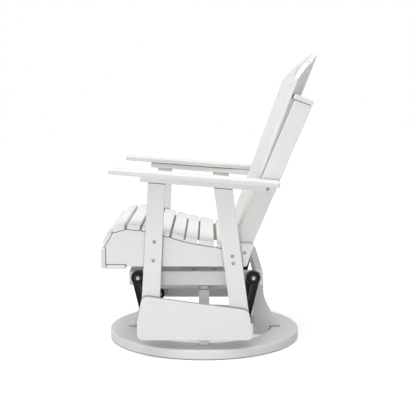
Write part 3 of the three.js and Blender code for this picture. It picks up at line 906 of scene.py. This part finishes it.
side_low, side_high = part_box("seat_side_left")
screw_x = (side_low.x + side_high.x) / 2
DOWN = Vector((0, 0, -1))
ABOVE = mm(200)
SEAT_SLATS = 9
for number in range(1, SEAT_SLATS + 1):
    node_name = f"seat_slat_{number}"
    low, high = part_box(node_name)
    for side, way in SIDES.items():
        start = Vector((way * screw_x, (low.y + high.y) / 2, high.z + ABOVE))
        drive_screw(boards[node_name], f"seat_screw_{number}_{side}", start, DOWN)
print(SEAT_SLATS * len(SIDES), "seat screws")

# %% [markdown]
# The back slats fan out, so their middles lie further apart towards the top. The height
# of each rail behind them gives the pitch there, and each slat has two screws in it.

# %% Back screws
BACK_SLATS = 5
FOOT_PITCH = mm(98)
TOP_PITCH = mm(110)
PITCH_TOP_AT = mm(655)
SCREW_SPREAD = mm(24)
MIDDLE_SLAT = (BACK_SLATS + 1) // 2
SCREW_WAYS = {"a": -1, "b": 1}
back_front = Vector((0, -math.cos(lean), math.sin(lean)))
back_rails = {"cap": "back_cap", "middle": "back_mid_rail", "low": "back_low_rail"}
back_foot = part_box(f"back_slat_{MIDDLE_SLAT}")[0].z
for place, rail in back_rails.items():
    centre = middle_of(rail)
    height = (centre.z - back_foot) / math.cos(lean)
    pitch = FOOT_PITCH + (TOP_PITCH - FOOT_PITCH) * height / PITCH_TOP_AT
    for number in range(1, BACK_SLATS + 1):
        for letter, way in SCREW_WAYS.items():
            across = (number - MIDDLE_SLAT) * pitch + way * SCREW_SPREAD
            start = Vector((across, centre.y, centre.z)) + ABOVE * back_front
            name = f"back_screw_{place}_{number}_{letter}"
            drive_screw(boards[f"back_slat_{number}"], name, start, -back_front)
bpy.data.objects.remove(screw)
print(len(back_rails) * BACK_SLATS * len(SCREW_WAYS), "back screws")

# %% [markdown]
# ## Swivel plates
# The two swivel plates lie between the pedestal and the underframe. They keep their
# shape, with their edges eased and a zinc finish. A low domed cap covers the bearing, and
# four bolts hold the upper plate. They glint in the slit under the seat.

# %% Swivel plates
PLATE_ROUNDING = mm(0.15)
for node_name in ("swivel_lower_plate", "swivel_upper_plate"):
    plate = board_copy(node_name, node_name + "_pressing")
    round_edges(plate, PLATE_ROUNDING, segments=2)
    dress(plate, bright_steel, "bright_steel", body_of[node_name], node_name)

plate_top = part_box("swivel_upper_plate")[1].z
PLATE_BOLT_AT = mm(58)
PLATE_PART_SIDES = 48
cap_profile = [
    (0, mm(31)), (mm(1.5), mm(31)), (mm(2.8), mm(27)), (mm(3.7), mm(16)), (mm(4), mm(4)),
]
bolt_profile = [
    (0, mm(9)), (mm(1.6), mm(9)), (mm(1.6), mm(6.5)), (mm(4.6), mm(6.5)), (mm(5), mm(5.5)),
]
plate_parts = {"swivel_bearing_cap": (cap_profile, 0, 0)}
for quarter in range(4):
    turn = (quarter + 0.5) * math.pi / 2
    place = (PLATE_BOLT_AT * math.cos(turn), PLATE_BOLT_AT * math.sin(turn))
    plate_parts[f"swivel_plate_bolt_{quarter + 1}"] = (bolt_profile, *place)
for name, (profile, x, y) in plate_parts.items():
    part = turn_piece(name, profile, PLATE_PART_SIDES)
    part.rotation_euler.y = -math.pi / 2
    part.location = (x, swivel_y + y, plate_top)
    settle(part, name)
    round_edges(part, SMALL_ROUNDING, segments=2)
    dress(part, bright_steel, "bright_steel", "underframe")
print(len(plate_parts), "pieces on the upper plate")

# %% [markdown]
# A small glide block is screwed to the top of each pedestal leg. It steadies the turning
# frame when someone leans to one side. One block is drilled for its four screws, and
# turned round the swivel by quarters.

# %% Glide blocks
GLIDE_DEEP, GLIDE_WIDE, GLIDE_HIGH = mm(22), mm(28), mm(14)
GLIDE_AT = mm(224)
GLIDE_SCREW = mm(2)
GLIDE_SCREW_DEPTH = mm(1)
GLIDE_SCREW_SIDES = 16
GLIDE_ACROSS_SHARE = 0.36
GLIDE_UP_SHARE = 0.26
GLIDE_ROUNDING = mm(0.6)
glide_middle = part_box("pedestal_leg_left")[1].z + GAP + GLIDE_HIGH / 2
bpy.ops.object.select_all(action="DESELECT")
bpy.ops.mesh.primitive_cube_add(
    size=1, location=(GLIDE_AT, 0, glide_middle), scale=(GLIDE_DEEP, GLIDE_WIDE, GLIDE_HIGH)
)
glide = settle(bpy.context.active_object, "glide_pattern")
for across in (-1, 1):
    for up in (-1, 1):
        y = across * GLIDE_ACROSS_SHARE * GLIDE_WIDE
        z = glide_middle + up * GLIDE_UP_SHARE * GLIDE_HIGH
        mouth = (GLIDE_AT + GLIDE_DEEP / 2, y, z)
        drill(glide, mouth, GLIDE_SCREW, 2 * GLIDE_SCREW_DEPTH, GLIDE_SCREW_SIDES)
round_edges(glide, GLIDE_ROUNDING)
glide_sides = ("left", "rear", "right", "front")
for quarter, side in enumerate(glide_sides):
    block = own_copy(glide, f"pedestal_glide_block_{side}")
    block.rotation_euler.z = quarter * math.pi / 2
    block.location = (0, swivel_y, 0)
    settle(block, block.name)
    dress(block, lumber["across"], "white_lumber", "base")
bpy.data.objects.remove(glide)
print(len(glide_sides), "glide blocks")

# %% [markdown]
# ## Floor, light and camera
# A product picture like this has a white floor that only shows a soft shadow. The camera
# sees a pale floor that glows a little, so it is white where it is lit and grey where the
# chair keeps the light away. Light that bounces off it meets a duller floor, which keeps
# the undersides in shade.

# %% Floor
FLOOR_SEEN = (0.85, 0.85, 0.85, 1)
FLOOR_BOUNCE = (0.66, 0.66, 0.66, 1)
FLOOR_GLOW = 0.38
FLOOR_DROP = mm(0.5)
FLOOR_WIDTH = 30
PLAIN_WHITE = (1, 1, 1, 1)


def seen_directly(tree_nodes, links):
    path = tree_nodes.new("ShaderNodeLightPath")
    first = tree_nodes.new("ShaderNodeMath")
    first.operation = "MAXIMUM"
    links.new(path.outputs["Is Camera Ray"], first.inputs[0])
    links.new(path.outputs["Is Glossy Ray"], first.inputs[1])
    both = tree_nodes.new("ShaderNodeMath")
    both.operation = "MAXIMUM"
    links.new(first.outputs[0], both.inputs[0])
    links.new(path.outputs["Is Transmission Ray"], both.inputs[1])
    return both.outputs[0]


bpy.ops.object.select_all(action="DESELECT")
bpy.ops.mesh.primitive_plane_add(size=FLOOR_WIDTH, location=(0, 0, -FLOOR_DROP))
floor = bpy.context.active_object
floor.name = "floor"
finish, tree_nodes, links = new_finish("pale_floor")
surface = tree_nodes["Principled BSDF"]
surface.inputs["Roughness"].default_value = 1
surface.inputs["Specular IOR Level"].default_value = 0
surface.inputs["Emission Color"].default_value = PLAIN_WHITE
seen = seen_directly(tree_nodes, links)
paint = blend(tree_nodes, links, seen, FLOOR_BOUNCE, FLOOR_SEEN)
links.new(paint, surface.inputs["Base Color"])
glow = tree_nodes.new("ShaderNodeMath")
glow.operation = "MULTIPLY"
glow.inputs[1].default_value = FLOOR_GLOW
links.new(seen, glow.inputs[0])
links.new(glow.outputs[0], surface.inputs["Emission Strength"])
floor.data.materials.append(finish)
print("floor", FLOOR_WIDTH, "m wide")

# %% [markdown]
# The studio is lit by a bright ceiling that fades towards the walls, so surfaces that
# look up are lighter than the sides, and what lies under the seat falls into shade. The
# camera itself sees plain white behind the chair.

# %% World
CEILING_LIGHT = 1.3
CEILING_WAY = (0.12, -0.2, 0.97)
world = bpy.data.worlds.new("studio")
bpy.context.scene.world = world
world.use_nodes = True
tree_nodes, links = world.node_tree.nodes, world.node_tree.links
backdrop = tree_nodes["Background"]
backdrop.inputs["Color"].default_value = PLAIN_WHITE
direction = tree_nodes.new("ShaderNodeTexCoord").outputs["Generated"]
upward = tree_nodes.new("ShaderNodeVectorMath")
upward.operation = "DOT_PRODUCT"
upward.inputs[1].default_value = CEILING_WAY
links.new(direction, upward.inputs[0])
ceiling = tree_nodes.new("ShaderNodeMapRange")
ceiling.inputs["To Max"].default_value = CEILING_LIGHT
links.new(upward.outputs["Value"], ceiling.inputs["Value"])
level = tree_nodes.new("ShaderNodeMapRange")
level.inputs["To Max"].default_value = 1
links.new(seen_directly(tree_nodes, links), level.inputs["Value"])
links.new(ceiling.outputs["Result"], level.inputs["To Min"])
links.new(level.outputs["Result"], backdrop.inputs["Strength"])
print("ceiling light", CEILING_LIGHT)

# %% [markdown]
# A low lamp beside the camera lights the upright faces and shines in under the seat. A
# wide one overhead draws the soft shadow on the floor.

# %% Lamps
def soft_lamp(name, place, target, size, watts):
    bpy.ops.object.light_add(type="AREA", location=place)
    lamp = bpy.context.active_object
    lamp.name = name
    lamp.data.shape = "DISK"
    lamp.data.size = size
    lamp.data.energy = watts
    lamp.visible_camera = False
    lamp.visible_glossy = False
    lamp.rotation_mode = "QUATERNION"
    lamp.rotation_quaternion = (Vector(target) - Vector(place)).to_track_quat("-Z", "Y")


CHAIR_MIDDLE_HEIGHT = 0.5
chair_middle = (0, swivel_y, CHAIR_MIDDLE_HEIGHT)
soft_lamp("side_lamp", (2.6, -0.3, 0.62), chair_middle, size=0.8, watts=12.5)
soft_lamp("top_lamp", (0.9, -0.2, 3.5), chair_middle, size=2.4, watts=37)
print("side lamp and top lamp")

# %% [markdown]
# The photograph looks straight at the chair's left side from about 3.7 metres away and a
# metre up, tilted down 7 degrees.

# %% Camera
CAMERA_AWAY = 3.719
CAMERA_BEHIND = mm(15)
CAMERA_HEIGHT = 0.977
CAMERA_TILT = math.radians(7)
FOCAL_PIXELS = 930
IMAGE_WIDTH = 416
SENSOR_WIDTH = 36
bpy.ops.object.camera_add(
    location=(CAMERA_AWAY, swivel_y + CAMERA_BEHIND, CAMERA_HEIGHT),
    rotation=(math.pi / 2 - CAMERA_TILT, 0, math.pi / 2),
)
camera = bpy.context.active_object
camera.data.sensor_width = SENSOR_WIDTH
camera.data.lens = FOCAL_PIXELS / IMAGE_WIDTH * SENSOR_WIDTH
bpy.context.scene.camera = camera
bpy.context.scene.view_settings.view_transform = "Standard"
print("lens", round(camera.data.lens, 1), "mm")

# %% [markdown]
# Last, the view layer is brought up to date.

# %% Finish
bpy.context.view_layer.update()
